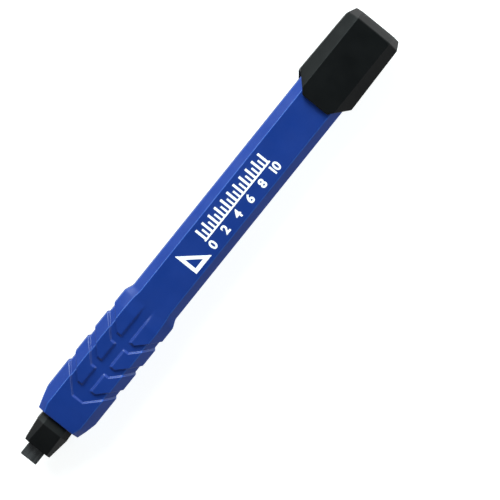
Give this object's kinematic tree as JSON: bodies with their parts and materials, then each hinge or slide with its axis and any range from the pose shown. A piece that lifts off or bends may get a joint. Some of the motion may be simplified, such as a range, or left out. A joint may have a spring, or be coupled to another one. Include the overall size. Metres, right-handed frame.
{
  "type": "clutch carpenter's pencil",
  "caption": "Faceted clutch carpenter's pencil with a grooved grip, a push cap and two jaws holding a flat lead.",
  "frame": {"origin": "under the middle of the pencil, on the plane of the cap's back face", "axes": "+X towards the writing tip, +Y across its width, +Z out of its printed front face"},
  "size_m": [0.1448, 0.017, 0.0126],
  "materials": {
    "barrel_plastic": "matte soft-touch blue with a fine even texture",
    "cap_plastic": "satin black with a fine moulded texture",
    "clutch_plastic": "satin black glass-filled nylon",
    "rod_plastic": "natural acetal",
    "graphite": "matte grey graphite with a slight sheen",
    "steel": "ground",
    "spring_steel": "drawn wire and strip",
    "aluminium": "drawn tube",
    "brass": "turned",
    "print": "white printed ink on the barrel"
  },
  "bodies": {
    "barrel": {"barrel": "barrel_plastic", "rear_bush": "clutch_plastic", "spring_plate": "steel", "return_spring": "spring_steel"},
    "plunger": {"front_pivot_pin": "steel", "rear_pivot_pin": "steel", "clutch_base": "clutch_plastic", "jaw_spring_left": "spring_steel", "jaw_spring_right": "spring_steel", "lead_tube": "aluminium", "clutch_rivet_left": "steel", "clutch_rivet_right": "steel", "rod_rivet_left": "steel", "rod_rivet_right": "steel", "plunger_rod": "rod_plastic", "spring_collar": "brass", "collar_clip": "spring_steel", "push_cap": "cap_plastic", "cap_core": "clutch_plastic", "cap_pin": "steel"},
    "front_jaw": {"front_jaw": "clutch_plastic"},
    "rear_jaw": {"rear_jaw": "clutch_plastic"},
    "lead": {"lead": "graphite"}
  },
  "joints": [
    {"name": "cap_press", "type": "slide", "parent": "barrel", "child": "plunger", "axis": [1, 0, 0], "range_m": [0, 0.004], "stiffness_N_per_m": 1000, "springref_m": -0.003, "deforming": ["return_spring"]},
    {"name": "front_jaw_open", "type": "hinge", "parent": "plunger", "child": "front_jaw", "pos_m": [0.0408, 0, 0.00835], "axis": [0, -1, 0], "range_deg": [0, 2.5]},
    {"name": "rear_jaw_open", "type": "hinge", "parent": "plunger", "child": "rear_jaw", "pos_m": [0.0408, 0, 0.00425], "axis": [0, 1, 0], "range_deg": [0, 2.5]},
    {"name": "lead_feed", "type": "slide", "parent": "plunger", "child": "lead", "axis": [1, 0, 0], "range_m": [-0.0032, 0.012]}
  ],
  "couplings": [
    {"joint": "front_jaw_open", "follows": "cap_press", "rad_per_m": 10.9},
    {"joint": "rear_jaw_open", "follows": "cap_press", "rad_per_m": 10.9}
  ]
}
